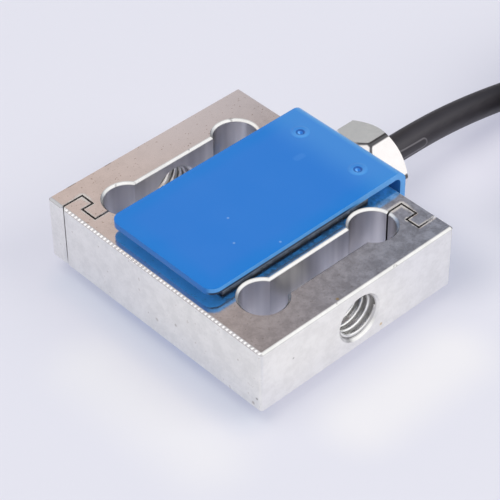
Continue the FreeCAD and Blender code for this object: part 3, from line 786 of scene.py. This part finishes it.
# painted bounce light: the underside is painted lighter and glows
underside = (0 - nz).rise(0.5, 0.9) * z.rise(8, 9)
tone = blend(tone, (0.06, 0.40, 0.95), underside)
bounce = blend((0, 0, 0), (0.018, 0.085, 0.22), underside)
feed(enamel_shader, "Emission Color", bounce)
enamel_shader.inputs["Emission Strength"].default_value = 1.0
pip_x, pip_y = pip_along / MM + low_corner.x / MM, pip_across / MM
from_pip = segment_distance(x, y.maths("ABSOLUTE", y), (pip_x, pip_y), (pip_x, pip_y))
# painted highlight round each pip's rim, stronger on one side, painted shade in a dark ring inside
# the pit, and a painted glint near its centre
low_side = (y.maths("ABSOLUTE", y) - pip_y) * (y.rise(-0.1, 0.1) * 2 - 1) + (x - pip_x) * 0.7
tone = blend(tone, (0.10, 0.36, 0.78), from_pip.between(1.0, 1.35, 0.40) * (0.28 - low_side * 0.24))
tone = blend(tone, (0.008, 0.075, 0.34), from_pip.between(0.50, 0.72, 0.10) * 0.8)
glint_spot = (pip_x - 0.10, pip_y)
glint = segment_distance(x, y.maths("ABSOLUTE", y), glint_spot, glint_spot)
tone = blend(tone, (0.30, 0.58, 0.92), 1 - glint.rise(0.08, 0.26))
# painted highlight: a faint lighter oval standing for a shallow dent
dent_highlight = segment_distance(x, y, (12.9, 2.1), (14.0, 2.1))
tone = blend(tone, (0.06, 0.25, 0.66), (1 - dent_highlight.rise(0.3, 0.9)) * 0.4)
feed(enamel_shader, "Base Color", tone)
feed(enamel_shader, "Normal", emboss(wire, orange_peel, 0.08, 0.05))

cover = finished(blank, "blue_cover", enamel, node="cover")
thick = cover.modifiers.new("sheet", "SOLIDIFY")
thick.thickness = sheet_thickness
thick.offset = 0
thick.use_even_offset = True
round_off = cover.modifiers.new("paint_round", "BEVEL")
round_off.width = 0.5 * MM
round_off.segments = 4
round_off.limit_method = "ANGLE"
round_off.angle_limit = math.radians(50)

# %% [markdown]
# ## Plated gland
#
# The gland's hexagon is bright plated steel: a near mirror whose flats each pick up another
# part of the room.

# %% Gland finish
plate, plate_shader, wire = start_finish("plated_steel", Metallic=1.0)
place, x, y, z = place_of(wire)
nx, ny, nz = facing_of(wire)
cloud = noise(wire, place, 0.5, 3.0)
grit = noise(wire, place, 2.4, 4.0, 0.7)

# a turned cone cuts the hexagon's corners; both give a radius, and the surface is the lesser
one_flat, first_corner = math.radians(60), math.radians(48.9)
half_across, cone_widest, cone_starts = 7.0, 8.08, 25.6
round_axis = (z - bore_height).maths("ARCTAN2", z - bore_height, y)
share = (round_axis - first_corner) / one_flat
from_middle = (share.maths("FRACT", share) - 0.5) * one_flat
hexagon_radius = half_across / from_middle.maths("COSINE", from_middle)
cone_radius = cone_widest - (cone_starts - x).larger(0.0) * 0.643
meeting = hexagon_radius - cone_radius
to_meeting = meeting.maths("ABSOLUTE", meeting) / 0.30
to_corner = cone_widest * (one_flat / 2 - from_middle.maths("ABSOLUTE", from_middle)) / 0.36
to_corner = to_corner + (25.4 - x).larger(0.0) * 2.5
join = (1.9 - to_meeting.larger(to_corner)).larger(0.0) * 0.45
# painted reflection: dark bands along the hexagon's edges and where the cone meets the flats
dark_edge_reflection = (1 - (to_meeting.smaller(to_corner) - join).rise(0.15, 1.0)) * (1 - y.rise(-1, 0.5))
tone = blend((0.82, 0.79, 0.77), (0.96, 0.92, 0.90), cloud)
# painted reflection: the top flat is painted a brighter bluish grey
tone = blend(tone, blend((0.60, 0.73, 0.82), (0.82, 0.96, 1.0), grit), nz.rise(0.9, 0.96))
tone = blend(tone, (0.07, 0.07, 0.075), dark_edge_reflection * 0.95)
feed(plate_shader, "Base Color", tone)
feed(plate_shader, "Roughness", 0.14 + cloud * 0.08 + dark_edge_reflection * 0.2)
smooth_copy("gland_screw", "hexagon_gland", plate)

# %% [markdown]
# ## The cable
#
# Two metres of round black cable leave the gland. A short stretch sinks to the table and the
# rest is wound up for storage, four turns wide and three high with its tail laid over the top,
# beyond the camera's view. A cord is one smooth spline with a round bevel. Its control points
# lie a little outside the curve, so the coil's points stand on a slightly larger circle than
# its turns.

# %% Cable route
coil_centre = Vector((84.0, -35.0, 0.0))
route = [
    Vector((30.1, 0, bore_height)),
    Vector((37.8, 0, bore_height)),
    Vector((48.0, 0.5, 7.6)),
    Vector((59.0, 0.5, 5.7)),
    Vector((69.8, -0.1, 3.6)),
]
points_a_turn = 16
coil_turns = 11
top_radius, top_height = 27.5, 18.0
outside = 1 / math.cos(math.pi / points_a_turn)


def ring_point(degrees, radius, height):
    angle = math.radians(degrees)
    reach = radius * outside
    return coil_centre + Vector((math.cos(angle) * reach, math.sin(angle) * reach, height))


layers = [(3.0, [35, 30, 25, 20]), (8.0, [20, 25, 30, 35]), (13.0, [35, 30, 25])]
rings = [(radius, height) for height, radii in layers for radius in radii]
rings.append((top_radius, top_height))
degrees = 90.0
step = 360 / points_a_turn
for (radius, height), (next_radius, next_height) in zip(rings, rings[1:]):
    last = next_height == top_height
    count = 13 if last else points_a_turn
    for number in range(count):
        share = smooth_step((number - count + 5) / 5) if next_height != height else 0
        slide = smooth_step((number - count + 4) / 4)
        route.append(
            ring_point(
                degrees,
                radius + (next_radius - radius) * slide,
                height + (next_height - height) * share,
            )
        )
        degrees -= step
while degrees > 100 - 360 * coil_turns:
    route.append(ring_point(degrees, top_radius, top_height))
    degrees -= step
route.append(ring_point(100, top_radius, top_height))
print("cable points:", len(route))

# %% Cable finish and curve
jacket, jacket_shader, wire = start_finish("black_cable_jacket")
place, x, y, z = place_of(wire)
smear = noise(wire, place, 0.35, 3.0)
nx, ny, nz = facing_of(wire)
# painted light: the side facing the front is painted lighter than the top
to_front = (0 - ny).rise(-0.2, 0.75)
tone = blend((0.014, 0.013, 0.017), (0.046, 0.042, 0.048), to_front * 0.75 + smear * 0.4)
# one rounded crease where the jacket was gripped by the gland, shown only as a painted highlight
# along its outline
level = z + (x - 34) * 0.06 - 9.15
past_ends = (33.6 - x).larger(x - 39.2).larger(0.0)
crease_highlight = ((past_ends * past_ends + level * level).power(0.5) - 0.85)
crease_highlight = (1 - crease_highlight.maths("ABSOLUTE", crease_highlight).rise(0.03, 0.20)) * (0 - ny).rise(0.3, 0.6)
tone = blend(tone, (0.20, 0.19, 0.20), crease_highlight * (x.rise(31.0, 34.0)) * 0.8)
feed(jacket_shader, "Base Color", tone)
feed(jacket_shader, "Roughness", 0.42 + smear * 0.12)
lumps = noise(wire, stretched(wire, place, 0.22, 0.6, 0.6), 1.0, 1.0)
feed(jacket_shader, "Normal", emboss(wire, lumps, 0.25, 0.5))

curve = bpy.data.curves.new("signal_cable", "CURVE")
curve.dimensions = "3D"
curve.bevel_depth = 2.5 * MM
curve.bevel_resolution = 7
curve.resolution_u = 6
curve.use_fill_caps = True
line = curve.splines.new("NURBS")
line.points.add(len(route) - 1)
for point, spot in zip(line.points, route):
    point.co = (*(spot * MM), 1)
line.order_u = 3
line.use_endpoint_u = True
curve.materials.append(jacket)
cable = bpy.data.objects.new("signal_cable", curve)
bpy.context.collection.objects.link(cable)
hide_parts("cable_free", "cable_coil", "cable_tail")
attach(cable, "root")

# %% [markdown]
# ## Small and hidden pieces
#
# The rest keeps its CAD shape and gets a finish of its own: rubber, potting, wire insulation
# and the parts in the sealed pocket.


# %% Simple finishes
def plain_finish(name, dark, light, scale, rough, metallic=0.0):
    """A finish that drifts between two colours over scale cycles a millimetre."""
    finish, shader, wire = start_finish(name, Metallic=metallic)
    cloud = noise(wire, place_of(wire)[0], scale, 3.0)
    feed(shader, "Base Color", blend(dark, light, cloud))
    feed(shader, "Roughness", rough + cloud * 0.1)
    feed(shader, "Normal", emboss(wire, cloud, 0.2, 0.03))
    return finish


# the potting is black high in the gap under the cover and speckled bluish grey lower down at the
# steel
potting, potting_shader, wire = start_finish("potting_compound", Roughness=0.75)
place, x, y, z = place_of(wire)
lower_speckle = blend((0.05, 0.08, 0.13), (0.30, 0.34, 0.39), noise(wire, place, 0.9, 3.0, 0.6))
feed(potting_shader, "Base Color", blend(lower_speckle, (0.004, 0.004, 0.005), z.rise(15.45, 15.95)))

# dark colour, light colour, cycles a millimetre, roughness, and metallic where it is metal
recipes = {
    "black_rubber": ((0.01, 0.01, 0.01), (0.03, 0.03, 0.03), 2, 0.6),
    "brass": ((0.55, 0.38, 0.13), (0.75, 0.57, 0.25), 1, 0.25, 1.0),
    "gauge_film": ((0.50, 0.25, 0.04), (0.70, 0.42, 0.10), 1, 0.35),
    "circuit_board": ((0.02, 0.14, 0.05), (0.04, 0.22, 0.08), 1, 0.4),
    "resistor_body": ((0.45, 0.34, 0.2), (0.6, 0.48, 0.3), 2, 0.35),
    "red_insulation": ((0.5, 0.01, 0.01), (0.7, 0.03, 0.02), 1, 0.3),
    "black_insulation": ((0.01, 0.01, 0.01), (0.03, 0.03, 0.03), 1, 0.3),
    "green_insulation": ((0, 0.2, 0.04), (0.02, 0.33, 0.08), 1, 0.3),
    "white_insulation": ((0.7, 0.7, 0.7), (0.85, 0.85, 0.85), 1, 0.3),
    "enamelled_copper": ((0.5, 0.2, 0.08), (0.7, 0.35, 0.15), 1, 0.2, 1.0),
    "tie_plastic": ((0.015, 0.015, 0.015), (0.03, 0.03, 0.03), 1, 0.35),
    "tinned_braid": ((0.35, 0.35, 0.35), (0.75, 0.75, 0.75), 3, 0.35, 1.0),
}
small_finishes = {name: plain_finish(name, *recipe) for name, recipe in recipes.items()}
small_finishes["cable_jacket"] = jacket
small_finishes["potting_compound"] = potting
replaced = {"spring_element", "cover", "gland_screw", "cable_free", "cable_coil", "cable_tail"}
for node, part_slot in slot_of.items():
    if node not in replaced:
        repaint(node, small_finishes[part_slot])

# %% [markdown]
# ## Colour
#
# The standard view transform shows a colour as it is written.

# %% Finish
bpy.context.scene.view_settings.view_transform = "Standard"
